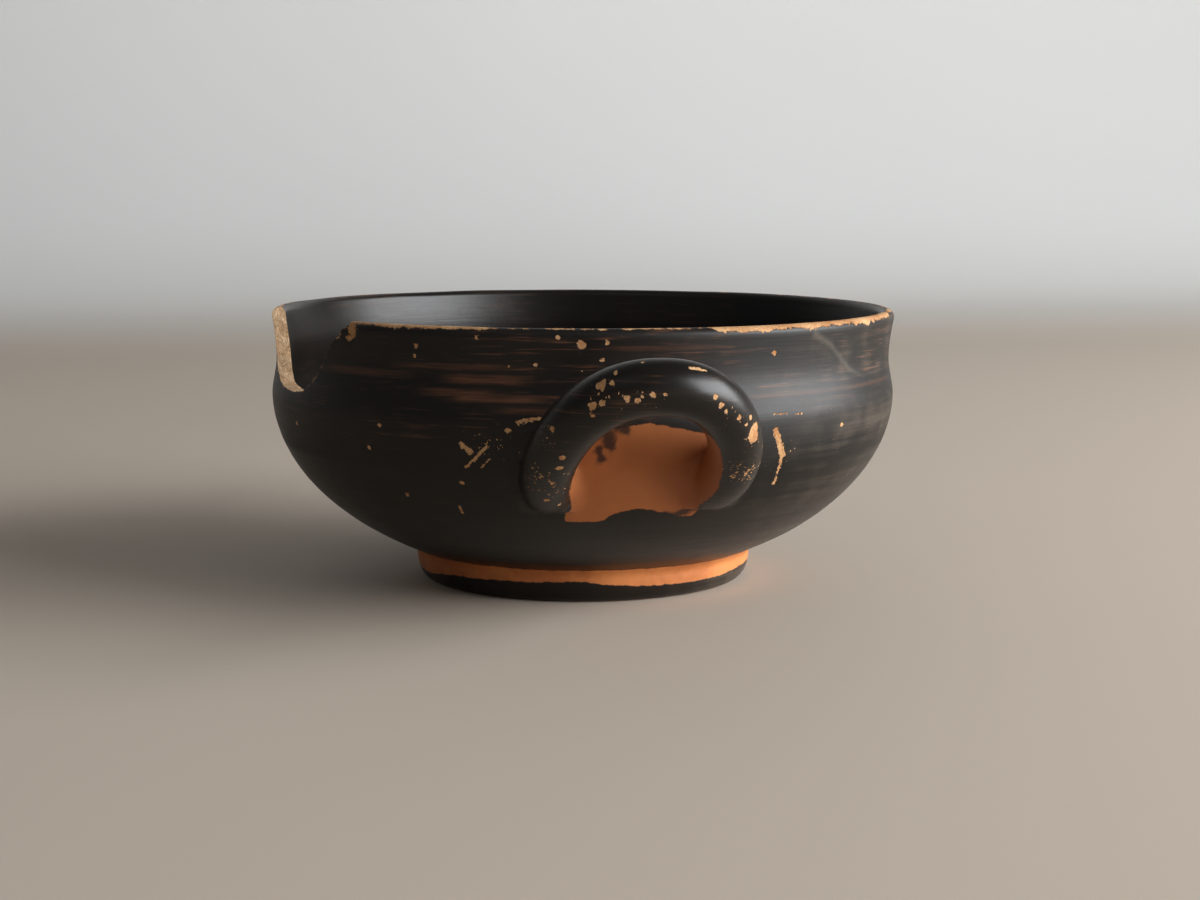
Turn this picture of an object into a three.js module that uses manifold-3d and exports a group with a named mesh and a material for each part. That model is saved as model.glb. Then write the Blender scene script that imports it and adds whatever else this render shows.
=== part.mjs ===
// A fired-clay drinking cup: a shallow bowl with a drawn-in lip, a ring foot, and two loop
// handles that leave the wall level and swing up. A piece of the lip is broken away.
// Millimetres, +Z up. The origin is the middle of the foot, on the table. The handles lie
// along Y, and angles round the cup are counted from the handle at -Y towards -X.

import * as THREE from 'three';
import { mergeVertices } from 'three/addons/utils/BufferGeometryUtils.js';
import Module from 'manifold-3d';

const wasm = await Module();
wasm.setup();

// Bowl
const HEIGHT = 61.4;
const BELLY_RADIUS = 70.4;
const BELLY_LEVEL = 43;
const BELLY_DEPTH = 42.8;
const WALL = 3.1;
const FLOOR_LEVEL = 9.6;
const LIP_ROUND = 1.55;
const LIP_RADIUS = 68.8;
const NECK_RADIUS = 69.3;
const NECK_LEVEL = 51;
const RIM_TILT = 0.2;

// Ring foot
const FOOT_RADIUS = 38.2;
const FOOT_LEVEL = 4.6;
const FOOT_TOP_RADIUS = 39.6;
const REST_OUTER_RADIUS = 35.4;
const REST_INNER_RADIUS = 31;
const RECESS_RADIUS = 28.6;
const RECESS_LEVEL = 5.4;
const RECESS_CENTRE_LEVEL = 5;

// Handles
const HANDLE_THICK = 10.8;
const HANDLE_ROOT = 61;
const HANDLE_ROOT_LEVEL = 29;
const HANDLE_REACH = 32;
const HANDLE_RISE = 23.2;
const HANDLE_HALF_WIDTH = 21.6;
const HANDLE_PINCH = 0.25;
const HANDLE_FILLET = 2.4;

// The break in the lip: its outline as (angle in degrees, level) from the near corner round.
const BREAK_OUTLINE = [
  [50, 64.5], [52.5, 60.6], [57.2, 56], [61.9, 50.1], [64.5, 47.2], [67.5, 45.6], [72, 45.3],
  [78, 46.2], [84, 48.6], [89, 52], [91.5, 56], [93.5, 59.2], [97.5, 64.5],
];
const BREAK_INNER_RADIUS = 58;
const BREAK_OUTER_RADIUS = 78;

// Fineness of the faceting
const ROUND_STEPS = 80;
const BELLY_STEPS = 12;
const NECK_STEPS = 5;
const LIP_STEPS = 6;
const HANDLE_SIDES = 14;
const HANDLE_STEPS = 30;

// Joins corners that share a place, and drops the slivers that this closes up.
function welded(geometry, tolerance) {
  const bare = geometry.clone();
  bare.deleteAttribute('normal');
  bare.deleteAttribute('uv');
  const merged = mergeVertices(bare, tolerance);
  const corners = merged.index.array;
  const kept = [];
  for (let i = 0; i < corners.length; i += 3) {
    const [a, b, c] = [corners[i], corners[i + 1], corners[i + 2]];
    if (a !== b && b !== c && c !== a) kept.push(a, b, c);
  }
  merged.setIndex(kept);
  return merged;
}

function toSolid(geometry) {
  const closed = welded(geometry, 1e-4);
  return new wasm.Manifold(new wasm.Mesh({
    numProp: 3,
    vertProperties: new Float32Array(closed.attributes.position.array),
    triVerts: new Uint32Array(closed.index.array),
  }));
}

function toGeometry(solid) {
  const mesh = solid.getMesh();
  const geometry = new THREE.BufferGeometry();
  geometry.setAttribute('position', new THREE.BufferAttribute(mesh.vertProperties, 3));
  geometry.setIndex(new THREE.BufferAttribute(mesh.triVerts, 1));
  return welded(geometry, 4e-3);
}

function turned(profile) {
  const points = profile.map(([radius, level]) => new THREE.Vector2(radius, level));
  return new THREE.LatheGeometry(points, ROUND_STEPS).rotateX(Math.PI / 2);
}

// A quarter of an ellipse between two radii: from the upper end, at its full width, down.
function ellipseRadius(width, depth, level) {
  return width * Math.sqrt(1 - ((BELLY_LEVEL - level) / depth) ** 2);
}

function bellyCurve(width, depth, startRadius, steps) {
  const start = Math.acos(startRadius / width);
  const points = [];
  for (let i = 0; i <= steps; i += 1) {
    const turn = start * (1 - i / steps);
    points.push([width * Math.cos(turn), BELLY_LEVEL - depth * Math.sin(turn)]);
  }
  return points;
}

// The drawn-in neck between the belly and the lip, without its two ends.
function neckCurve(inset) {
  const lipLevel = HEIGHT - LIP_ROUND;
  const curve = new THREE.SplineCurve([
    new THREE.Vector2(ellipseRadius(BELLY_RADIUS, BELLY_DEPTH, BELLY_LEVEL - 5), BELLY_LEVEL - 5),
    new THREE.Vector2(BELLY_RADIUS, BELLY_LEVEL),
    new THREE.Vector2(NECK_RADIUS, NECK_LEVEL),
    new THREE.Vector2(LIP_RADIUS + LIP_ROUND, lipLevel),
    new THREE.Vector2(LIP_RADIUS + 2 * LIP_ROUND, lipLevel + 6),
  ]);
  const points = [];
  for (let i = 1; i < NECK_STEPS; i += 1) {
    const point = curve.getPoint(0.25 + 0.5 * i / NECK_STEPS);
    points.push([point.x - inset, point.y]);
  }
  return points;
}

function lipCurve() {
  const points = [];
  for (let i = 0; i <= LIP_STEPS; i += 1) {
    const turn = Math.PI * i / LIP_STEPS;
    const radius = LIP_RADIUS + LIP_ROUND * Math.cos(turn);
    points.push([radius, HEIGHT - LIP_ROUND * (1 - Math.sin(turn))]);
  }
  return points;
}

function footCurve() {
  return [
    [0, RECESS_CENTRE_LEVEL],
    [RECESS_RADIUS - 1, RECESS_LEVEL],
    [RECESS_RADIUS, RECESS_LEVEL - 0.6],
    [RECESS_RADIUS + 0.9, 1.6],
    [REST_INNER_RADIUS, 0],
    [REST_OUTER_RADIUS, 0],
    [FOOT_RADIUS - 1.5, 0.6],
    [FOOT_RADIUS - 0.6, 2],
    [FOOT_RADIUS, FOOT_LEVEL],
    [FOOT_RADIUS, FOOT_LEVEL + 1.6],
  ];
}

function bowlSolid() {
  const outside = bellyCurve(BELLY_RADIUS, BELLY_DEPTH, FOOT_TOP_RADIUS, BELLY_STEPS);
  const insideWidth = BELLY_RADIUS - WALL;
  const inside = bellyCurve(insideWidth, BELLY_LEVEL - FLOOR_LEVEL, 0, BELLY_STEPS);
  inside[0][0] = 0;
  return toSolid(turned([
    ...footCurve(),
    ...outside,
    ...neckCurve(0),
    ...lipCurve(),
    ...neckCurve(WALL).reverse(),
    ...inside.reverse(),
  ]));
}

// The hollow of the bowl, kept a little inside the wall: it trims the handles' roots.
function hollowSolid() {
  const width = BELLY_RADIUS - WALL / 2;
  const depth = BELLY_LEVEL - FLOOR_LEVEL + WALL / 2;
  const curve = bellyCurve(width, depth, 0, BELLY_STEPS);
  curve[0][0] = 0;
  return toSolid(turned([...curve, [width, HEIGHT], [0, HEIGHT]]));
}

// A handle's centre line, from one root to the other. The arms spread from the roots and
// meet in a round loop, which rises as it reaches out.
class HandleLine extends THREE.Curve {
  getPoint(t, target = new THREE.Vector3()) {
    const turn = (2 * t - 1) * Math.PI / 2;
    const roundness = 2 / 2.3;
    const reach = Math.abs(Math.cos(turn)) ** roundness;
    const across = Math.sign(turn) * Math.abs(Math.sin(turn)) ** roundness;
    const spread = 1 - HANDLE_PINCH * (1 - reach) ** 1.6;
    return target.set(
      HANDLE_HALF_WIDTH * across * spread,
      -HANDLE_ROOT - HANDLE_REACH * reach,
      HANDLE_ROOT_LEVEL + HANDLE_RISE * reach ** 1.45,
    );
  }
}

// How far a point stands off the belly: the handle swells towards its roots by this.
function distanceToBelly(point) {
  const radius = Math.hypot(point.x, point.y);
  const level = Math.min(point.z, BELLY_LEVEL);
  return radius - ellipseRadius(BELLY_RADIUS, BELLY_DEPTH, level);
}

function filletSwell(distance) {
  const closeness = THREE.MathUtils.clamp(1 - distance / HANDLE_FILLET, 0, 1);
  return HANDLE_FILLET * (1 - Math.sqrt(1 - closeness ** 2)) * 0.8;
}

function handleSolid() {
  const round = new THREE.Shape();
  for (let i = 0; i < HANDLE_SIDES; i += 1) {
    const turn = 2 * Math.PI * i / HANDLE_SIDES;
    const x = HANDLE_THICK / 2 * Math.cos(turn);
    const y = HANDLE_THICK / 2 * Math.sin(turn);
    if (i === 0) round.moveTo(x, y);
    else round.lineTo(x, y);
  }
  round.closePath();
  const line = new HandleLine();
  const geometry = new THREE.ExtrudeGeometry(round, { steps: HANDLE_STEPS, extrudePath: line });
  const centres = line.getSpacedPoints(4 * HANDLE_STEPS);
  const position = geometry.attributes.position;
  const point = new THREE.Vector3();
  for (let i = 0; i < position.count; i += 1) {
    point.fromBufferAttribute(position, i);
    const swell = filletSwell(distanceToBelly(point));
    const centre = centres.reduce((a, b) => (a.distanceTo(point) < b.distanceTo(point) ? a : b));
    const out = point.clone().sub(centre).normalize();
    point.addScaledVector(out, swell);
    position.setXYZ(i, point.x, point.y, point.z);
  }
  return geometry;
}

// The broken-away piece: its outline wrapped round the wall, cut straight through it.
function breakSolid() {
  const middle = (BREAK_INNER_RADIUS + BREAK_OUTER_RADIUS) / 2;
  const perDegree = THREE.MathUtils.degToRad(1) * middle;
  const outline = BREAK_OUTLINE.map(([angle, level]) => new THREE.Vector2(angle * perDegree, level));
  const depth = BREAK_OUTER_RADIUS - BREAK_INNER_RADIUS;
  const geometry = new THREE.ExtrudeGeometry(new THREE.Shape(outline), {
    depth, steps: 1, bevelEnabled: false,
  });
  const position = geometry.attributes.position;
  for (let i = 0; i < position.count; i += 1) {
    const angle = position.getX(i) / middle;
    const radius = BREAK_OUTER_RADIUS - position.getZ(i);
    const level = position.getY(i);
    position.setXYZ(i, -radius * Math.sin(angle), -radius * Math.cos(angle), level);
  }
  return toSolid(geometry);
}

// The pot leans a little with height, as a hand-turned one does.
function leaned(geometry) {
  const position = geometry.attributes.position;
  for (let i = 0; i < position.count; i += 1) {
    const share = Math.max(position.getZ(i), 0) / HEIGHT;
    const drop = RIM_TILT * share ** 2 * position.getX(i) / BELLY_RADIUS;
    position.setZ(i, position.getZ(i) - drop);
  }
  geometry.computeVertexNormals();
  return geometry;
}

function cupGeometry() {
  const hollow = hollowSolid();
  const front = handleSolid();
  const back = front.clone().rotateZ(Math.PI);
  const handles = toSolid(front).add(toSolid(back)).subtract(hollow);
  const cup = bowlSolid().add(handles).subtract(breakSolid());
  return leaned(toGeometry(cup));
}

const glaze = new THREE.MeshStandardMaterial({ color: 0x15110e, roughness: 0.38, metalness: 0 });
const cup = new THREE.Mesh(cupGeometry(), glaze);
cup.name = 'cup';

const object = new THREE.Group();
object.add(cup);

export default object;
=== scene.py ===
"""A black-glazed drinking cup of fired clay: bowl, ring foot, two loop handles and a broken lip."""
import math

import bmesh
import bpy
import numpy as np
from mathutils import Matrix, Vector, kdtree, noise


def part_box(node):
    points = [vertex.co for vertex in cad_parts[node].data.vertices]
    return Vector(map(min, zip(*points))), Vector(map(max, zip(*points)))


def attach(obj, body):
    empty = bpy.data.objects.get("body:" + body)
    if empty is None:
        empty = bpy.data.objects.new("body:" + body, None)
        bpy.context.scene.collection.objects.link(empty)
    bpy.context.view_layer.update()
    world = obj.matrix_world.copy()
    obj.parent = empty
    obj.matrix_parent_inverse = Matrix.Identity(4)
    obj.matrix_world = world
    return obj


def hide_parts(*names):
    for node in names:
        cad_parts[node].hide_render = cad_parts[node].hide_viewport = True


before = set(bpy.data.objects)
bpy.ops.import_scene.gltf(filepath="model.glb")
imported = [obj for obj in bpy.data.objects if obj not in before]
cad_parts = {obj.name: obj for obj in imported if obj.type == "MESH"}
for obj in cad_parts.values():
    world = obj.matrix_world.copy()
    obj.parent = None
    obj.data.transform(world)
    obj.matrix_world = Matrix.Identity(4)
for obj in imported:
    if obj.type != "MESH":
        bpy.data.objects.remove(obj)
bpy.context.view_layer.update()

MM = 0.001
noise.seed_set(5)

# ---------------------------------------------------------------- the cup's measures
cup_low, cup_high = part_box("cup")
LEAN = 0.2 * MM
LIP_ROUND = 1.55 * MM
LIP_RADIUS = 68.8 * MM
BELLY_RADIUS = cup_high.x
BELLY_LEVEL = 43 * MM
BELLY_DEPTH = 42.8 * MM
HEIGHT = cup_high.z - LEAN * LIP_RADIUS / BELLY_RADIUS
WALL = 3.1 * MM
FLOOR_LEVEL = 9.6 * MM
NECK_RADIUS = 69.3 * MM
NECK_LEVEL = 51 * MM

FOOT_RADIUS = 38.2 * MM
FOOT_LEVEL = 4.6 * MM
FOOT_TOP_RADIUS = 39.6 * MM
REST_OUTER_RADIUS = 35.4 * MM
REST_INNER_RADIUS = 31 * MM
RECESS_RADIUS = 28.6 * MM
RECESS_LEVEL = 5.4 * MM
RECESS_CENTRE_LEVEL = 5 * MM

HANDLE_THICK = 10.8 * MM
HANDLE_ROOT = 61 * MM
HANDLE_REACH = 32 * MM
HANDLE_ROOT_LEVEL = 29 * MM
HANDLE_RISE = 23.2 * MM
HANDLE_HALF_WIDTH = 21.6 * MM
HANDLE_PINCH = 0.25
HANDLE_FILLET = 2.4 * MM
HANDLE_SWELL = 0.8 * HANDLE_FILLET
HANDLE_ROUNDNESS = 2 / 2.3
HANDLE_PINCH_CURVE = 1.6
HANDLE_RISE_CURVE = 1.45

# The break's outline from its near corner round: (degrees from the front handle, level in mm)
BREAK_OUTLINE = [
    (50, 64.5), (52.5, 60.6), (57.2, 56), (61.9, 50.1), (64.5, 47.2), (67.5, 45.6), (72, 45.3),
    (78, 46.2), (84, 48.6), (89, 52), (91.5, 56), (93.5, 59.2), (97.5, 64.5),
]
BREAK_INNER_RADIUS = 58 * MM
BREAK_OUTER_RADIUS = 78 * MM
BREAK_STEPS = 36

ROUND_STEPS = 360
HANDLE_SIDES = 44
HANDLE_STEPS = 100


# ---------------------------------------------------------------- marks of use
# Deep chips: on the handle (place along it, degrees around it, width mm, depth mm), on the bowl
# (degrees from the front handle, level mm, width mm, depth mm)
HANDLE_CHIPS = [(0.75, 108, 2.4, 0.35), (0.39, 56, 1.3, 0.25), (0.36, 94, 1.2, 0.2)]
BOWL_CHIPS = [(9.1, 58.3, 1.5, 0.25), (51.5, 59.6, 1.9, 0.5)]

# Small round losses of glaze on the bowl: degrees from the front handle, level mm, radius mm
BOWL_SPOTS = [
    (9.1, 58.3, 0.85), (26.1, 59.6, 0.55), (12.8, 59.8, 0.45), (4.9, 58.8, 0.5), (5.6, 55.3, 0.4),
    (21, 53.9, 0.4), (16.5, 54.2, 0.35), (37.2, 57.5, 0.45), (37.8, 55.3, 0.4), (44.6, 40.9, 0.45),
    (47.9, 36, 0.45), (42.7, 26.2, 0.5), (69.4, 38.6, 0.5), (30.1, 30, 0.45), (-24.7, 55.7, 0.5),
    (-25.8, 43.3, 0.5), (-30.5, 42.9, 0.4), (-41.5, 39.5, 0.45), (21, 41.3, 0.6), (29, 37.7, 0.6),
    (51, 59.8, 1.5), (52, 58.2, 0.8), (118, 44, 0.6), (141, 30, 0.5), (-112, 38, 0.6),
    (-134, 52, 0.5), (162, 51, 0.5), (-158, 36, 0.45),
]
# Scratches and long scars on the bowl: from and to (degrees, level mm), half width mm
BOWL_SCARS = [
    ((19.3, 43), (15.8, 43.8), 0.4), ((28.7, 33.4), (24.6, 38), 0.3), ((29.2, 38.4), (27.6, 36.6), 0.5),
    ((26, 33.5), (24.3, 35.3), 0.15), ((32.2, 24.4), (32.0, 22.8), 0.3), ((-24.9, 40), (-27.2, 34.5), 0.7),
    ((-27.2, 34.5), (-27.4, 28.5), 0.4), ((-30.5, 42.9), (-24.5, 43.4), 0.1),
]
# Dull grey scuffs on the bowl: from and to (degrees, level mm), half width mm
SCUFFS = [
    ((-33.6, 58.9), (-38.2, 56.5), 0.5), ((-38.2, 56.5), (-45, 50.7), 0.35),
    ((-45, 50.7), (-65.1, 43.1), 0.3),
]
# Strokes of glaze over the bare clay by the front handle: from and to (degrees, level mm), half width mm
OVERBRUSHED = [
    ((5.9, 35.6), (6.3, 37.6), 0.9), ((4.5, 38.6), (4.9, 40.4), 1.3), ((2.0, 41.6), (3.4, 42.4), 1.0),
    ((-6.5, 21.8), (-12.5, 24.6), 1.0), ((-2, 23.6), (-9, 22.6), 0.9),
]
# Patches where the glaze has flaked: degrees and level mm on the bowl, or place and degrees on the
# handle; then the patch's radius in mm and how badly it has flaked
BOWL_FLAKED = [
    (24, 38.5, 7, 0.5), (51, 60, 4, 0.7), (-27, 34, 6, 0.45), (-40, 40, 9, 0.3), (10, 56, 9, 0.25),
]
HANDLE_FLAKED = [
    (0.84, 152, 7, 0.75), (0.76, 118, 5, 0.7), (0.13, 165, 9, 0.75), (0.38, 90, 6, 0.5),
    (0.46, 100, 5, 0.45), (0.67, 105, 6, 0.5), (0.24, 90, 6, 0.45),
]
# Chips on the front handle: place along it, degrees around it, radius mm
HANDLE_SPOTS = [
    (0.39, 56, 1.0), (0.41, 62, 0.5), (0.42, 42, 0.5), (0.42, 38, 0.4), (0.47, 22, 0.4), (0.39, 70, 0.45),
    (0.43, 98, 0.6), (0.43, 104, 0.5), (0.45, 106, 0.6), (0.46, 100, 0.5), (0.48, 98, 0.5),
    (0.50, 98, 0.5), (0.36, 94, 0.9), (0.35, 112, 0.5), (0.38, 96, 0.6), (0.60, 92, 0.5),
    (0.62, 104, 0.6), (0.64, 112, 0.5), (0.68, 110, 0.5), (0.71, 112, 0.5), (0.71, 94, 0.5),
    (0.745, 104, 1.7), (0.755, 113, 1.6), (0.76, 122, 0.6), (0.26, 94, 0.6), (0.22, 154, 0.7),
    (0.19, 168, 0.6), (0.14, 174, 0.6), (0.08, 178, 0.6), (0.05, 208, 0.5),
]
HANDLE_SCARS = [((0.545, 40), (0.575, 40), 0.4)]
# Thin red-brown bands where the brush ran dry: from and to in degrees, level mm, half height mm, strength
THIN_BANDS = [
    (18, 33, 51.1, 0.9, 1), (23, 37, 48.4, 0.7, 0.9), (14, 31, 47.4, 0.8, 1), (20, 42, 53.5, 0.6, 0.6),
    (8, 24, 45.2, 0.7, 0.6), (38, 60, 51.5, 0.8, 0.5), (-14, 6, 57.5, 0.5, 0.4),
    (-68, -18, 47.1, 0.35, 0.5), (12, 17, 59.2, 0.35, 0.5), (100, 138, 49.5, 0.5, 0.6),
    (-150, -118, 46, 0.45, 0.6),
]

# ---------------------------------------------------------------- studio
FLOOR_TINT = (0.50, 0.42, 0.34)
BACKDROP_TINT = (0.84, 0.84, 0.82)
WINDOW_BEARING = math.radians(67)
WINDOW_ELEVATION = math.radians(18)
WINDOW_DISTANCE = 1.25
WINDOW_SIZE = (1.3, 0.8)
WINDOW_POWER = 39
WINDOW_TINT = (0.96, 0.98, 1.0)
ROOM_PLACE = (-0.9, -1.1, 1.3)
ROOM_SIZE = (1.4, 1.0)
ROOM_POWER = 1.2
ROOM_TINT = (1.0, 0.93, 0.86)
AIR_TINT = (0.95, 0.97, 1.0, 1)
AIR_STRENGTH = 0.15

CAMERA_PLACE = (-0.07367, -0.47403, 0.09187)
CAMERA_DOWN = math.radians(7.55)
CAMERA_TURN = math.radians(9.3)
CAMERA_LENS = 63.03
CAMERA_SENSOR = 36


# ---------------------------------------------------------------- curves
def through(points, place):
    """A point of the smooth curve through these points, place running from 0 to 1."""
    spot = place * (len(points) - 1)
    start = min(int(spot), len(points) - 2)
    t = spot - start
    a, b, c, d = (Vector(points[min(max(start + i, 0), len(points) - 1)]) for i in (-1, 0, 1, 2))
    bend = (c - a) / 2 * (t - 2 * t**2 + t**3) + (d - b) / 2 * (t**3 - t**2)
    return b * (1 - 3 * t**2 + 2 * t**3) + c * (3 * t**2 - 2 * t**3) + bend


def ellipse_radius(width, depth, level):
    below = min(max((BELLY_LEVEL - level) / depth, 0), 1)
    return width * math.sqrt(1 - below**2)


def belly_curve(width, depth, start_radius, steps):
    start = math.acos(start_radius / width)
    turns = [start * (1 - i / steps) for i in range(steps + 1)]
    return [(width * math.cos(turn), BELLY_LEVEL - depth * math.sin(turn)) for turn in turns]


def neck_curve(inset, steps):
    low = BELLY_LEVEL - 5 * MM
    lip_level = HEIGHT - LIP_ROUND
    points = [
        (ellipse_radius(BELLY_RADIUS, BELLY_DEPTH, low), low),
        (BELLY_RADIUS, BELLY_LEVEL),
        (NECK_RADIUS, NECK_LEVEL),
        (LIP_RADIUS + LIP_ROUND, lip_level),
        (LIP_RADIUS + 2 * LIP_ROUND, lip_level + 6 * MM),
    ]
    made = [through(points, 0.25 + 0.5 * i / steps) for i in range(1, steps)]
    return [(radius - inset, level) for radius, level in made]


def lip_curve(steps):
    turns = [math.pi * i / steps for i in range(steps + 1)]
    return [
        (LIP_RADIUS + LIP_ROUND * math.cos(turn), HEIGHT - LIP_ROUND * (1 - math.sin(turn)))
        for turn in turns
    ]


def corners_cut(points, times):
    """Rounds a line's corners by cutting each one off, and keeps its two ends."""
    for _ in range(times):
        cut = [points[0]]
        for (r0, z0), (r1, z1) in zip(points, points[1:]):
            cut.append((0.75 * r0 + 0.25 * r1, 0.75 * z0 + 0.25 * z1))
            cut.append((0.25 * r0 + 0.75 * r1, 0.25 * z0 + 0.75 * z1))
        points = cut + [points[-1]]
    return points


def foot_curve():
    return corners_cut([
        (0, RECESS_CENTRE_LEVEL),
        (RECESS_RADIUS / 2, RECESS_CENTRE_LEVEL + 0.2 * MM),
        (RECESS_RADIUS - 1 * MM, RECESS_LEVEL),
        (RECESS_RADIUS, RECESS_LEVEL - 0.6 * MM),
        (RECESS_RADIUS + 0.9 * MM, 1.6 * MM),
        (REST_INNER_RADIUS, 0),
        (REST_OUTER_RADIUS, 0),
        (FOOT_RADIUS - 1.5 * MM, 0.6 * MM),
        (FOOT_RADIUS - 0.6 * MM, 2 * MM),
        (FOOT_RADIUS, FOOT_LEVEL),
        (FOOT_RADIUS, FOOT_LEVEL + 1.6 * MM),
        (FOOT_TOP_RADIUS, FOOT_LEVEL + 3.03 * MM),
    ], 2)


# ---------------------------------------------------------------- modelling
def in_order(bm):
    """Splits the faces and sorts all parts by place, so that every run joins the same meshes.

    The shift is far too small to see. It leaves no face with two diagonals of the same length.
    """
    for corner in bm.verts:
        corner.co += noise.noise_vector(corner.co / (3 * MM)) * 0.0005 * MM
    bmesh.ops.triangulate(bm, faces=bm.faces, quad_method="SHORT_EDGE")
    across = Vector((1, math.pi, math.e**2))
    bm.verts.sort(key=lambda corner: corner.co.dot(across))
    bm.faces.sort(key=lambda face: face.calc_center_median().dot(across))


def new_piece(name, bm):
    mesh = bpy.data.meshes.new(name)
    bm.to_mesh(mesh)
    bm.free()
    piece = bpy.data.objects.new(name, mesh)
    bpy.context.collection.objects.link(piece)
    return piece


def bowl_piece():
    """The bowl and its foot, spun from one profile that starts and ends on the axis."""
    profile = foot_curve()[:-1]
    profile += belly_curve(BELLY_RADIUS, BELLY_DEPTH, FOOT_TOP_RADIUS, 60)
    profile += neck_curve(0, 18)
    profile += lip_curve(12)
    profile += neck_curve(WALL, 8)[::-1]
    profile += belly_curve(BELLY_RADIUS - WALL, BELLY_LEVEL - FLOOR_LEVEL, 0, 26)[::-1]
    profile[-1] = (0, FLOOR_LEVEL)
    bm = bmesh.new()
    corners = [bm.verts.new((radius, 0, level)) for radius, level in profile]
    edges = [bm.edges.new(pair) for pair in zip(corners, corners[1:])]
    bmesh.ops.spin(
        bm, geom=corners + edges, axis=(0, 0, 1), cent=(0, 0, 0),
        steps=ROUND_STEPS, angle=2 * math.pi, use_merge=True,
    )
    bmesh.ops.remove_doubles(bm, verts=bm.verts, dist=0.002 * MM)
    bmesh.ops.recalc_face_normals(bm, faces=bm.faces)
    in_order(bm)
    return new_piece("bowl", bm)


def handle_point(place):
    """A point of the front handle's centre line, place running from 0 to 1."""
    turn = (2 * place - 1) * math.pi / 2
    reach = abs(math.cos(turn)) ** HANDLE_ROUNDNESS
    across = math.copysign(abs(math.sin(turn)) ** HANDLE_ROUNDNESS, turn)
    spread = 1 - HANDLE_PINCH * (1 - reach) ** HANDLE_PINCH_CURVE
    return Vector((
        HANDLE_HALF_WIDTH * across * spread,
        -HANDLE_ROOT - HANDLE_REACH * reach,
        HANDLE_ROOT_LEVEL + HANDLE_RISE * reach**HANDLE_RISE_CURVE,
    ))


def handle_places(steps):
    """Places along the centre line that lie the same length apart."""
    fine = [i / 2000 for i in range(2001)]
    points = [handle_point(place) for place in fine]
    lengths = [0]
    for before, after in zip(points, points[1:]):
        lengths.append(lengths[-1] + (after - before).length)
    wanted = [lengths[-1] * i / steps for i in range(steps + 1)]
    return [float(place) for place in np.interp(wanted, lengths, fine)]


def handle_frame(place):
    """A matrix at that place: X runs sideways, Y upwards and Z along the handle."""
    step = 1e-4
    before = handle_point(max(place - step, 0))
    after = handle_point(min(place + step, 1))
    along = (after - before).normalized()
    up = (Vector((0, 0, 1)) - along * along.z).normalized()
    side = up.cross(along)
    turn = Matrix((side, up, along)).transposed()
    return Matrix.Translation(handle_point(place)) @ turn.to_4x4()


def mid_wall_radius(level):
    return ellipse_radius(BELLY_RADIUS - WALL / 2, BELLY_LEVEL - FLOOR_LEVEL + WALL / 2, level)


def handle_piece(name, turned):
    """A round bar swept along the centre line, swelling into the wall at both roots."""
    frames = [handle_frame(place) for place in handle_places(HANDLE_STEPS)]
    bm = bmesh.new()
    ring = bmesh.ops.create_circle(
        bm, segments=HANDLE_SIDES, radius=HANDLE_THICK / 2, matrix=frames[0]
    )["verts"]
    edges = list(bm.edges)
    centres = {corner: frames[0].translation for corner in ring}
    first = edges
    for before, after in zip(frames, frames[1:]):
        made = bmesh.ops.extrude_edge_only(bm, edges=edges)["geom"]
        ring = [part for part in made if isinstance(part, bmesh.types.BMVert)]
        inside = set(ring)
        edges = [
            part for part in made
            if isinstance(part, bmesh.types.BMEdge) and inside.issuperset(part.verts)
        ]
        bmesh.ops.transform(bm, matrix=after @ before.inverted(), verts=ring)
        centres.update((corner, after.translation) for corner in ring)
    bmesh.ops.edgeloop_fill(bm, edges=first)
    bmesh.ops.edgeloop_fill(bm, edges=edges)
    for corner, centre in centres.items():
        gap = corner.co.xy.length - ellipse_radius(BELLY_RADIUS, BELLY_DEPTH, corner.co.z)
        closeness = min(max(1 - gap / HANDLE_FILLET, 0), 1)
        swell = HANDLE_SWELL * (1 - math.sqrt(1 - closeness**2))
        corner.co += (corner.co - centre).normalized() * swell
        inner = mid_wall_radius(corner.co.z)
        if corner.co.xy.length < inner:
            corner.co.xy *= inner / corner.co.xy.length
    if turned:
        bmesh.ops.rotate(bm, cent=(0, 0, 0), matrix=Matrix.Rotation(math.pi, 3, "Z"), verts=bm.verts)
    bmesh.ops.recalc_face_normals(bm, faces=bm.faces)
    in_order(bm)
    return new_piece(name, bm)


def break_outline():
    """The break's outline, made finer and a little ragged, in (radians, level)."""
    fine = [through(BREAK_OUTLINE, i / 220) for i in range(221)]
    outline = []
    for angle, level in fine:
        ragged = 0.35 * noise.noise(Vector((angle * 0.9, level * 0.7, 3.1)))
        ragged += 0.15 * noise.noise(Vector((angle * 2.7, level * 2.3, 8.7)))
        outline.append((math.radians(angle + 0.8 * ragged), (level + 0.5 * ragged) * MM))
    return outline


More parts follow.
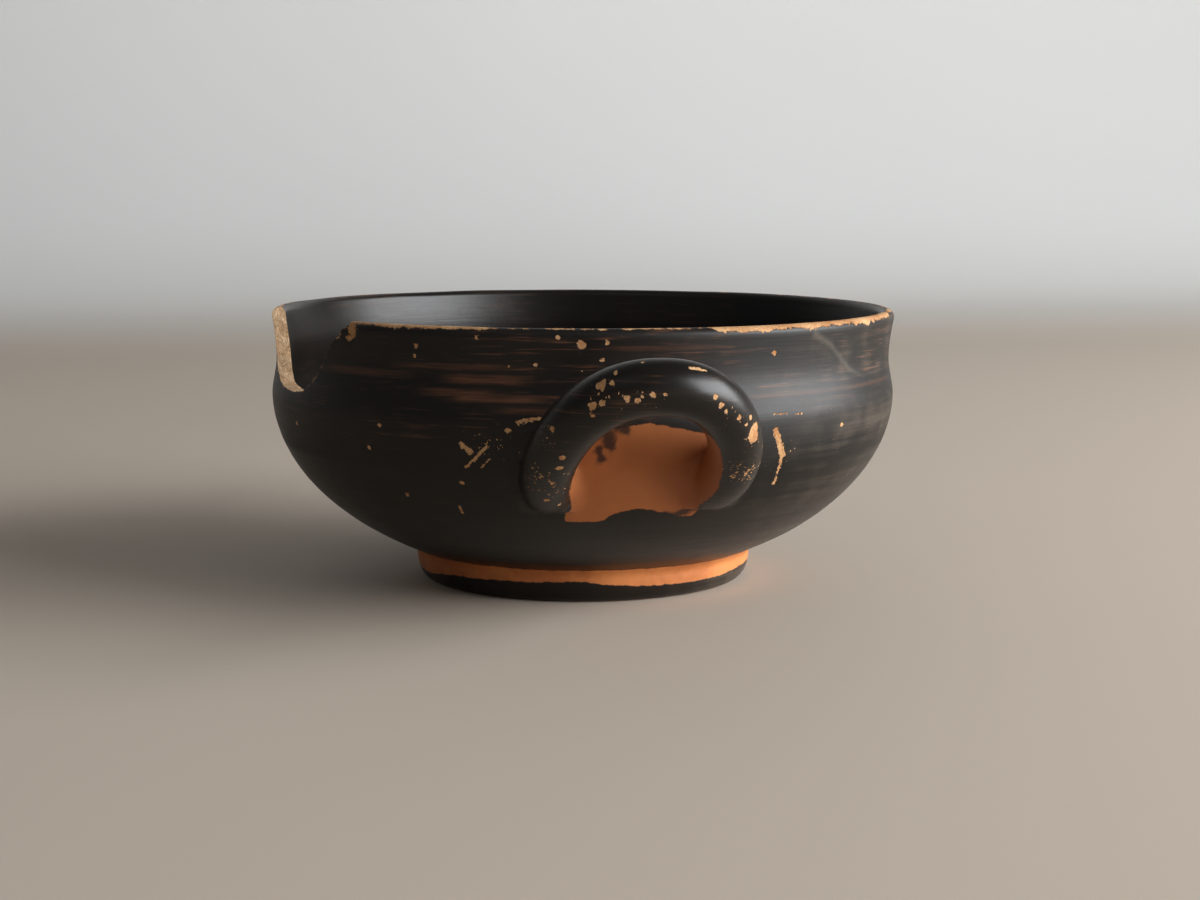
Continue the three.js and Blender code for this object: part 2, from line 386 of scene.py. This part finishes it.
def break_piece():
    """The lost piece of the lip, as a cutter with rough sides."""
    bm = bmesh.new()
    ring = [
        bm.verts.new((
            -BREAK_INNER_RADIUS * math.sin(angle), -BREAK_INNER_RADIUS * math.cos(angle), level
        ))
        for angle, level in break_outline()
    ]
    edges = [bm.edges.new(pair) for pair in zip(ring, ring[1:] + ring[:1])]
    first = edges
    step = (BREAK_OUTER_RADIUS - BREAK_INNER_RADIUS) / BREAK_STEPS
    for i in range(BREAK_STEPS):
        radius = BREAK_INNER_RADIUS + step * i
        made = bmesh.ops.extrude_edge_only(bm, edges=edges)["geom"]
        ring = [part for part in made if isinstance(part, bmesh.types.BMVert)]
        outer = set(ring)
        edges = [
            part for part in made
            if isinstance(part, bmesh.types.BMEdge) and outer.issuperset(part.verts)
        ]
        wider = (radius + step) / radius
        bmesh.ops.scale(bm, vec=(wider, wider, 1), verts=ring)
    for loop in (first, edges):
        bmesh.ops.triangle_fill(bm, edges=loop, use_beauty=True, use_dissolve=False)
    for corner in bm.verts:
        grain = noise.noise_vector(corner.co / (1.1 * MM)) * 0.16
        grain += noise.noise_vector(corner.co / (3.5 * MM)) * 0.3
        corner.co += grain * MM
    bmesh.ops.recalc_face_normals(bm, faces=bm.faces)
    in_order(bm)
    return new_piece("lost piece", bm)


def combined(piece, other, operation):
    change = piece.modifiers.new(operation, "BOOLEAN")
    change.operation = operation
    change.solver = "EXACT"
    change.material_mode = "TRANSFER"
    change.object = other


def finished_mesh(piece, helpers):
    """The piece's mesh with its modifiers applied; the helpers go."""
    made = bpy.data.meshes.new_from_object(
        piece.evaluated_get(bpy.context.evaluated_depsgraph_get())
    )
    piece.modifiers.clear()
    old = piece.data
    piece.data = made
    bpy.data.meshes.remove(old)
    for helper in helpers:
        mesh = helper.data
        bpy.data.objects.remove(helper)
        bpy.data.meshes.remove(mesh)


def outside_radius(level):
    """The radius of the bowl's outside at that level."""
    if level <= BELLY_LEVEL:
        return ellipse_radius(BELLY_RADIUS, BELLY_DEPTH, level)
    neck = [(BELLY_RADIUS, BELLY_LEVEL)] + neck_curve(0, 18)
    return float(np.interp(level, [z for _, z in neck], [r for r, _ in neck]))


def on_bowl(angle, level):
    """A point on the bowl's outside: degrees from the front handle towards -X, and a level in mm."""
    radius = outside_radius(level * MM)
    turn = math.radians(angle)
    return Vector((-radius * math.sin(turn), -radius * math.cos(turn), level * MM))


def on_handle(place, around):
    """A point on the front handle's skin, around it in degrees from its top towards its outside."""
    turn = math.radians(around)
    skin = Vector((-math.sin(turn), math.cos(turn), 0)) * HANDLE_THICK / 2
    return handle_frame(place) @ skin


# ---------------------------------------------------------------- the cup
def smoothed_joints(bm):
    """Softens the line where the handles meet the bowl, and takes the knife edge off the break."""
    bm.verts.index_update()
    joint = {
        corner for edge in bm.edges for corner in edge.verts
        if {face.material_index for face in edge.link_faces} == {0, 1}
    }
    for _ in range(2):
        joint |= {edge.other_vert(corner) for corner in joint for edge in corner.link_edges}
    joint = sorted(joint, key=lambda corner: corner.index)
    for _ in range(6):
        bmesh.ops.smooth_vert(
            bm, verts=joint, factor=0.5, use_axis_x=True, use_axis_y=True, use_axis_z=True
        )
    rough = {
        corner for edge in bm.edges for corner in edge.verts
        if 2 in {face.material_index for face in edge.link_faces}
        and len({face.material_index for face in edge.link_faces}) > 1
    }
    rough = sorted(rough, key=lambda corner: corner.index)
    bmesh.ops.smooth_vert(
        bm, verts=rough, factor=0.35, use_axis_x=True, use_axis_y=True, use_axis_z=True
    )
    return [corner.co.copy() for corner in rough]


def thrown_by_hand(bm):
    """Faint turning lines and unevenness, the few deep chips, and the lip's slight lean."""
    bm.normal_update()
    chips = [(on_handle(place, around), *size) for place, around, *size in HANDLE_CHIPS]
    chips += [(on_bowl(angle, level), *size) for angle, level, *size in BOWL_CHIPS]
    moved = []
    for corner in bm.verts:
        spot = corner.co
        flat = max(spot.xy.length, 1 * MM)
        lines = noise.noise(Vector((spot.x / flat, spot.y / flat, spot.z / (2.6 * MM))))
        uneven = noise.noise(spot / (17 * MM))
        push = (0.035 * lines + 0.10 * uneven) * MM
        if spot.z < 0.5 * MM:
            push = 0
        for centre, width, depth in chips:
            near = (spot - centre).length / (width * MM)
            if near < 1:
                push -= depth * MM * (1 - near**2) ** 0.5
        moved.append(spot + corner.normal * push)
    for corner, spot in zip(bm.verts, moved):
        lean = LEAN * (spot.z / HEIGHT) ** 2 * spot.x / BELLY_RADIUS
        corner.co = (spot.x, spot.y, max(spot.z - lean, 0))


def bare_clay(spots):
    """How far inside the clay left without glaze each point lies, in mm; below zero is glazed."""
    turned = np.where(spots[:, 1:2] > 0, -1, 1)
    x, y = (spots[:, :2] * turned).T / MM
    z = spots[:, 2] / MM
    radius = np.hypot(x, y)
    angle = np.degrees(np.arctan2(-x, -y))
    full_angle = np.degrees(np.arctan2(-spots[:, 0], -spots[:, 1]))
    wall = np.array([ellipse_radius(BELLY_RADIUS, BELLY_DEPTH, level * MM) / MM for level in z])

    top = np.interp(angle, [-16, -12, -8.7, -1.9, 5.2, 12], [39.5, 40.2, 41, 42.8, 41.5, 40])
    low = np.interp(
        angle, [-14, -9.9, -1.5, 3.5, 5.1, 10.6, 14], [22.1, 22.5, 24.8, 23.6, 21.9, 21.7, 22.0]
    )
    left = np.interp(z, [22, 34, 42], [14.5, 12.5, 10])
    right = np.interp(z, [22, 30, 36, 42], [14.5, 18, 16.5, 14.5])
    side = np.where(angle > 0, left - angle * 1.18, right + angle * 1.18)
    panel = np.minimum(np.minimum(top - z, z - low), side)
    panel = np.where((np.abs(radius - wall) < 0.9) & (z < 48), panel, -9)

    line_places = [i / 240 for i in range(241)]
    line = np.array([handle_point(place) for place in line_places]) / MM
    handle = np.flatnonzero((radius > wall + 0.4) & (y < -60) & (np.abs(x) < 32))
    arm = np.full(len(spots), -9.0)
    for i in handle:
        spot = np.array((x[i], y[i], z[i]))
        gaps = np.linalg.norm(line - spot, axis=1)
        near = line[gaps.argmin()]
        inward = (near[0] - spot[0]) * math.copysign(1, near[0]) / (HANDLE_THICK / 2 / MM)
        out = radius[i] - wall[i]
        edge = 0.78 if near[0] < 0 else 0.55
        arm[i] = min(4.5 * (inward - edge), 19 - out)

    band_low = np.interp(
        full_angle, [-180, -59.5, -44, -25, -8.6, 3.4, 11, 23, 37, 59, 74, 180],
        [3.8, 4.0, 3.4, 3.3, 3.6, 4.4, 5.0, 4.6, 4.4, 3.9, 2.7, 3.8],
    )
    band = np.where(radius > 35.6, np.minimum(z - band_low, 7.6 - z), -9)
    under = np.where((z < 7) & (radius < 36.6), 35.8 - radius, -9)
    return np.maximum(np.maximum(panel, arm), np.maximum(band, under))


def worn_edges(spots, break_edge):
    """How far inside the worn glaze of the lip and of the break's edge each point lies, in mm."""
    x, y, z = spots.T / MM
    radius = np.hypot(x, y)
    angle = np.degrees(np.arctan2(-x, -y))
    amount = np.interp(
        angle,
        [-180, -120, -66, -60, -50, -34, -16, -12, -4, 8, 22, 27, 50, 56, 97, 120, 180],
        [0.3, 0.7, 0.6, 1.4, 1.6, 1.5, 1.4, 0.5, 0.3, 0.2, 0.3, 0.7, 0.8, 1.2, 0.9, 0.5, 0.3],
    )
    crest = np.hypot(radius - LIP_RADIUS / MM - 0.5, z - HEIGHT / MM + 0.1)
    worn = np.where(z > 54, amount - crest, -9)
    tree = kdtree.KDTree(len(break_edge))
    for i, corner in enumerate(break_edge):
        tree.insert(corner, i)
    tree.balance()
    near = np.flatnonzero((z > 43) & (radius > 60) & (angle > 42) & (angle < 104))
    for i in near:
        worn[i] = max(worn[i], 0.1 - tree.find(spots[i])[2] / MM)
    return worn


def kept_on_points(piece, name, values):
    layer = piece.data.attributes.new(name, "FLOAT", "POINT")
    layer.data.foreach_set("value", np.asarray(values, np.float32))


def cup_piece():
    cup = bowl_piece()
    front = handle_piece("front handle", False)
    back = handle_piece("back handle", True)
    lost = break_piece()
    handle_finish = handle_glaze()
    finishes = (bowl_glaze(), handle_finish, handle_finish, broken_clay())
    for piece, finish in zip((cup, front, back, lost), finishes):
        piece.data.materials.append(finish)
    combined(cup, front, "UNION")
    combined(cup, back, "UNION")
    combined(cup, lost, "DIFFERENCE")
    finished_mesh(cup, (front, back, lost))
    bm = bmesh.new()
    bm.from_mesh(cup.data)
    bmesh.ops.remove_doubles(bm, verts=bm.verts, dist=0.004 * MM)
    bmesh.ops.recalc_face_normals(bm, faces=bm.faces)
    break_edge = smoothed_joints(bm)
    thrown_by_hand(bm)
    for face in bm.faces:
        face.smooth = True
    bm.to_mesh(cup.data)
    bm.free()
    cup.name = "cup_body"
    cup.data.set_sharp_from_angle(angle=math.radians(38))
    spots = np.array([corner.co for corner in cup.data.vertices])
    kept_on_points(cup, "bare", bare_clay(spots))
    kept_on_points(cup, "worn", worn_edges(spots, break_edge))
    return cup


# ---------------------------------------------------------------- finishes
class Wire:
    """A socket of a material's nodes that can be used in sums."""

    def __init__(self, nodes, socket):
        self.nodes = nodes
        self.socket = socket

    def sum(self, operation, *others):
        return self.nodes.node("ShaderNodeMath", {"operation": operation}, self, *others)

    def __add__(self, other):
        return self.sum("ADD", other)

    __radd__ = __add__

    def __sub__(self, other):
        return self.sum("SUBTRACT", other)

    def __rsub__(self, other):
        return (self * -1) + other

    def __mul__(self, other):
        return self.sum("MULTIPLY", other)

    __rmul__ = __mul__

    def __truediv__(self, other):
        return self.sum("DIVIDE", other)

    def most(self, other):
        return self.sum("MAXIMUM", other)

    def least(self, other):
        return self.sum("MINIMUM", other)

    def ramp(self, low, high):
        """0 below low, 1 above high, and smooth between them."""
        settings = {"interpolation_type": "SMOOTHSTEP"}
        return self.nodes.node("ShaderNodeMapRange", settings, self, low, high, 0, 1)


class Finish:
    """A procedural material in the making."""

    def __init__(self, name):
        self.material = bpy.data.materials.new(name)
        self.material.use_nodes = True
        self.tree = self.material.node_tree
        self.shader = self.tree.nodes["Principled BSDF"]
        self.place = self.node("ShaderNodeTexCoord", {}, output="Object")

    def node(self, kind, settings, *inputs, output=0, **named):
        made = self.tree.nodes.new(kind)
        for key, value in settings.items():
            setattr(made, key, value)
        for key, value in list(enumerate(inputs)) + list(named.items()):
            self.set(made.inputs[key], value)
        return Wire(self, made.outputs[output])

    def set(self, socket, value):
        if isinstance(value, Wire):
            self.tree.links.new(value.socket, socket)
        else:
            socket.default_value = value

    def vector(self, operation, *inputs, output=0):
        return self.node("ShaderNodeVectorMath", {"operation": operation}, *inputs, output=output)

    def axes(self):
        return [self.node("ShaderNodeSeparateXYZ", {}, self.place, output=axis) for axis in "XYZ"]

    def grain(self, size, detail=3, place=None):
        """Noise from about -1 to 1 whose features are this many metres across."""
        settings = {"noise_dimensions": "3D"}
        made = self.node(
            "ShaderNodeTexNoise", settings, Vector=place or self.place, Scale=1 / size, Detail=detail
        )
        return (made - 0.5) * 3

    def attribute(self, name):
        return self.node("ShaderNodeAttribute", {"attribute_name": name}, output="Fac")

    def mix(self, factor, first, second):
        made = self.tree.nodes.new("ShaderNodeMix")
        made.data_type = "RGBA"
        for place, value in ((0, factor), (6, first), (7, second)):
            self.set(made.inputs[place], value)
        return Wire(self, made.outputs[2])

    def from_point(self, centre):
        return self.vector("DISTANCE", self.place, centre, output="Value")

    def from_line(self, start, end):
        """The distance from the straight line between two points."""
        along = end - start
        reach = self.vector("SUBTRACT", self.place, start)
        part = self.vector("DOT_PRODUCT", reach, along / along.length_squared, output="Value")
        part = part.most(0).least(1)
        step = self.vector("SCALE", along)
        self.set(step.socket.node.inputs["Scale"], part)
        return self.vector("DISTANCE", reach, step, output="Value")

    def finish(self, colour, roughness, bump, height):
        self.set(self.shader.inputs["Base Color"], colour)
        self.set(self.shader.inputs["Roughness"], roughness)
        normal = self.node(
            "ShaderNodeBump", {}, Strength=1.0, Distance=height, Height=bump, output="Normal"
        )
        self.set(self.shader.inputs["Normal"], normal)
        return self.material


def colour(red, green, blue):
    return (red, green, blue, 1)


def in_mm(wire):
    return wire / MM


def marks(finish, spots, scars, ragged):
    """How far inside the nearest small loss of glaze a point lies, in mm."""
    inside = None
    for centre, radius in spots:
        mark = radius - in_mm(finish.from_point(centre))
        inside = mark if inside is None else inside.most(mark)
    for start, end, width in scars:
        inside = inside.most(width - in_mm(finish.from_line(start, end)))
    return inside + ragged


def flaking(finish, patches):
    """How badly the glaze has flaked round each point, from 0 to 1."""
    total = None
    for centre, radius, strength in patches:
        patch = (in_mm(finish.from_point(centre)) / -radius + 1).most(0).sum("SQRT") * strength
        total = patch if total is None else total.most(patch)
    return total


def glaze(name, spots, scars, patches, dullness):
    """Black glaze over orange clay: brushed, chipped and worn, on the bowl's outside dulled and with a
    painted sheen on its right side, and with painted shade on the bare clay above the foot.
    """
    made = Finish(name)
    x, y, z = made.axes()
    flat = (x * x + y * y).sum("SQRT").most(1 * MM)
    ring_place = made.node("ShaderNodeCombineXYZ", {}, x / flat, y / flat, z / (7 * MM))
    fine_ring_place = made.node("ShaderNodeCombineXYZ", {}, x / flat * 2, y / flat * 2, z / (1.3 * MM))
    hair_place = made.node("ShaderNodeCombineXYZ", {}, x / flat * 7, y / flat * 7, z / (0.42 * MM))
    cloudy = made.grain(22 * MM)
    broad = made.grain(6 * MM)
    small = made.grain(1.6 * MM, 4)
    tiny = made.grain(0.5 * MM, 2)
    brushed = made.grain(1, 3, ring_place)
    lines = made.grain(1, 2, fine_ring_place)
    hairs = made.grain(1, 2, hair_place)

    bare = made.attribute("bare") + small * 0.25 + tiny * 0.1
    worn = made.attribute("worn") + broad * 0.6 + small * 0.6 + tiny * 0.2
    ragged = small * 0.42 + tiny * 0.28
    flaked = flaking(made, patches)
    specks = (made.grain(0.75 * MM, 2) * 0.75 + broad * 0.2 + flaked * 0.85).ramp(0.74, 0.86)
    lost = worn.ramp(-0.05, 0.3).most(marks(made, spots, scars, ragged).ramp(-0.06, 0.12))
    lost = lost.most(specks)

    upper = (z / MM).ramp(30, 46) * 0.75 + 0.25
    outside = (flat / MM).ramp(67.6, 68.6)
    dry = ((hairs * 0.7 + lines * 0.45 + broad * 0.3 + cloudy * 0.25) * upper).ramp(0.12, 0.85)
    dry = dry * (outside * 0.6 + 0.15)
    black = made.mix(
        (cloudy * 0.5 + brushed * 0.5 + 0.35).ramp(0, 1.3),
        colour(0.0045, 0.0032, 0.0022), colour(0.0150, 0.0085, 0.0048),
    )
    angle = (x * -1).sum("ARCTAN2", y * -1) * (180 / math.pi)
    thin = dry
    if dullness:
        wave = broad * 0.35 + small * 0.15
        for start, end, level, half, strength in THIN_BANDS:
            middle = (start + end) / 2
            along = ((end - start) / 2 - (angle - middle).sum("ABSOLUTE") + broad * 2).ramp(-2, 4)
            across = (half - ((z / MM) + wave * 0.6 - level).sum("ABSOLUTE")).ramp(-0.35, 0.4)
            across = across * outside
            thin = thin.most(along * across * (hairs * 0.55 + 0.7).ramp(0, 1.2) * strength)
        over = None
        for start, end, half in OVERBRUSHED:
            stroke = in_mm(made.from_line(on_bowl(*start), on_bowl(*end))) - half + small * 0.8
            over = stroke if over is None else over.least(stroke)
    bare = bare.ramp(-0.14, 0.14)
    black = made.mix(thin, black, colour(0.125, 0.050, 0.024))
    if dullness:
        # Painted sheen: on the bowl's outside the glaze is mixed towards a warm grey on the right side,
        # around -62 degrees, which faces the window.
        right = (90 - (angle + 62).sum("ABSOLUTE")).ramp(40, 75)
        painted_sheen = (brushed * 0.35 + broad * 0.25 + lines * 0.25 + cloudy * 0.2).ramp(-0.15, 0.4) * right
        black = made.mix(painted_sheen * 0.6, black, colour(0.074, 0.058, 0.043))
        scuff = None
        for start, end, half in SCUFFS:
            rub = half - in_mm(made.from_line(on_bowl(*start), on_bowl(*end))) + small * 0.3
            scuff = rub if scuff is None else scuff.most(rub)
        black = made.mix(scuff.ramp(-0.7, 0.7) * 0.3, black, colour(0.16, 0.135, 0.105))
    clay = made.mix(
        (cloudy * 0.45 + broad * 0.2 + small * 0.12 + 0.5).ramp(0, 1),
        colour(0.36, 0.100, 0.026), colour(0.66, 0.235, 0.070),
    )
    chipped = made.mix(
        (broad * 0.5 + tiny * 0.4 + 0.45).ramp(0, 1), colour(0.34, 0.145, 0.052), colour(0.58, 0.35, 0.17)
    )
    # Painted shade: bare clay above the foot band (the panel and the handles' inner faces) is mixed towards a
    # darker orange. It is darkest towards +X, where the right arm's shadow falls on the panel.
    high = (z / MM).ramp(10, 16)
    painted_shadow_clay = made.mix(
        (x / MM + broad * 3).ramp(0, 13), colour(0.30, 0.092, 0.026), colour(0.155, 0.036, 0.009)
    )
    clay = made.mix(high * 0.72, clay, painted_shadow_clay)
    dirt = (cloudy * 0.4 + small * 0.35 - 0.1).ramp(0.2, 0.9) * 0.4
    clay = made.mix(dirt, clay, colour(0.15, 0.050, 0.018))
    if dullness:
        clay = made.mix((over * -1).ramp(-0.6, 0.6) * 0.88, clay, colour(0.022, 0.011, 0.008))
    skin = made.mix(lost, made.mix(bare, black, clay), chipped)

    shine = cloudy * 0.04 + brushed * 0.04 + hairs * 0.03 + small * 0.02 + 0.36
    shine = shine + outside * dullness
    roughness = shine + bare * 0.2
    roughness = roughness * (1 - lost) + lost * 0.85
    made.set(made.shader.inputs["Coat Weight"], (1 - bare.most(lost)) * 0.06)
    made.shader.inputs["Coat Roughness"].default_value = 0.25
    made.shader.inputs["Specular IOR Level"].default_value = 0.3
    glazed = 1 - bare * 0.85
    bump = small * 0.06 + (lines * 0.14 + hairs * 0.08) * glazed + tiny * 0.04
    bump = bump + lost * (tiny * 0.35 - 1.2) - bare * 0.5
    return made.finish(skin, roughness, bump, 0.08 * MM)


def bowl_glaze():
    spots = [(on_bowl(angle, level), radius) for angle, level, radius in BOWL_SPOTS]
    scars = [(on_bowl(*start), on_bowl(*end), width) for start, end, width in BOWL_SCARS]
    patches = [(on_bowl(angle, level), *rest) for angle, level, *rest in BOWL_FLAKED]
    return glaze("bowl glaze", spots, scars, patches, 0.14)


def handle_glaze():
    spots = [(on_handle(place, around), radius) for place, around, radius in HANDLE_SPOTS]
    scars = [(on_handle(*start), on_handle(*end), width) for start, end, width in HANDLE_SCARS]
    patches = [(on_handle(place, around), *rest) for place, around, *rest in HANDLE_FLAKED]
    return glaze("handle glaze", spots, scars, patches, 0)


def broken_clay():
    """The rough, dusty face of the break."""
    made = Finish("broken clay")
    coarse = made.grain(3 * MM, 4)
    small = made.grain(0.8 * MM, 4)
    tiny = made.grain(0.25 * MM, 2)
    clay = made.mix(
        (coarse * 0.4 + small * 0.3 + 0.5).ramp(0, 1), colour(0.36, 0.19, 0.085), colour(0.60, 0.42, 0.25)
    )
    clay = made.mix((small + tiny * 0.5 + coarse * 0.5).ramp(0.5, 1.3) * 0.8, clay, colour(0.10, 0.06, 0.035))
    return made.finish(clay, coarse * 0.04 + 0.88, small * 0.6 + tiny * 0.4, 0.25 * MM)


def floor_paint():
    """Matt paint, warm on the floor and lighter and cooler on the backdrop."""
    made = Finish("pale floor")
    cloudy = made.grain(0.4, 2)
    far = made.axes()[1].ramp(0.55, 1.15)
    shade = made.mix(far, colour(*FLOOR_TINT), colour(*BACKDROP_TINT))
    shade = made.mix((cloudy * 0.5 + 0.5).ramp(0, 1) * 0.06, shade, colour(0.4, 0.38, 0.36))
    return made.finish(shade, cloudy * 0.02 + 0.75, cloudy, 0.01 * MM)


# ---------------------------------------------------------------- studio
def floor_piece():
    """A pale floor that curves up into the backdrop."""
    bend = 0.5
    line = [(-5, 0), (0.9, 0)]
    line += [
        (0.9 + bend * math.sin(turn), bend - bend * math.cos(turn))
        for turn in (math.pi / 2 * i / 16 for i in range(1, 17))
    ]
    line += [(0.9 + bend, 2.2)]
    bm = bmesh.new()
    corners = [bm.verts.new((-5, y, z)) for y, z in line]
    edges = [bm.edges.new(pair) for pair in zip(corners, corners[1:])]
    made = bmesh.ops.extrude_edge_only(bm, edges=edges)["geom"]
    far = [part for part in made if isinstance(part, bmesh.types.BMVert)]
    bmesh.ops.translate(bm, vec=(10, 0, 0), verts=far)
    for face in bm.faces:
        face.smooth = True
    bmesh.ops.recalc_face_normals(bm, faces=bm.faces)
    floor = new_piece("floor", bm)
    floor.data.materials.append(floor_paint())
    return floor


def soft_light(name, place, aim, size, power, tint):
    data = bpy.data.lights.new(name, "AREA")
    data.shape = "RECTANGLE"
    data.size, data.size_y = size
    data.energy = power
    data.color = tint
    light = bpy.data.objects.new(name, data)
    light.location = place
    light.rotation_euler = (Vector(aim) - Vector(place)).to_track_quat("-Z", "Y").to_euler()
    bpy.context.collection.objects.link(light)


cup = cup_piece()
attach(cup, "root")
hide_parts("cup")
floor_piece()

window = Vector((
    math.sin(WINDOW_BEARING) * math.cos(WINDOW_ELEVATION),
    -math.cos(WINDOW_BEARING) * math.cos(WINDOW_ELEVATION),
    math.sin(WINDOW_ELEVATION),
)) * WINDOW_DISTANCE
soft_light("window", window, (0, 0, 0.04), WINDOW_SIZE, WINDOW_POWER, WINDOW_TINT)
soft_light("room", ROOM_PLACE, (0, 0, 0.03), ROOM_SIZE, ROOM_POWER, ROOM_TINT)
world = bpy.data.worlds.new("room light")
world.use_nodes = True
world.node_tree.nodes["Background"].inputs["Color"].default_value = AIR_TINT
world.node_tree.nodes["Background"].inputs["Strength"].default_value = AIR_STRENGTH
bpy.context.scene.world = world

camera_data = bpy.data.cameras.new("camera")
camera_data.lens = CAMERA_LENS
camera_data.sensor_width = CAMERA_SENSOR
camera = bpy.data.objects.new("camera", camera_data)
camera.location = CAMERA_PLACE
camera.rotation_euler = (math.pi / 2 - CAMERA_DOWN, 0, -CAMERA_TURN)
bpy.context.collection.objects.link(camera)
bpy.context.scene.camera = camera
bpy.context.scene.view_settings.view_transform = "Standard"
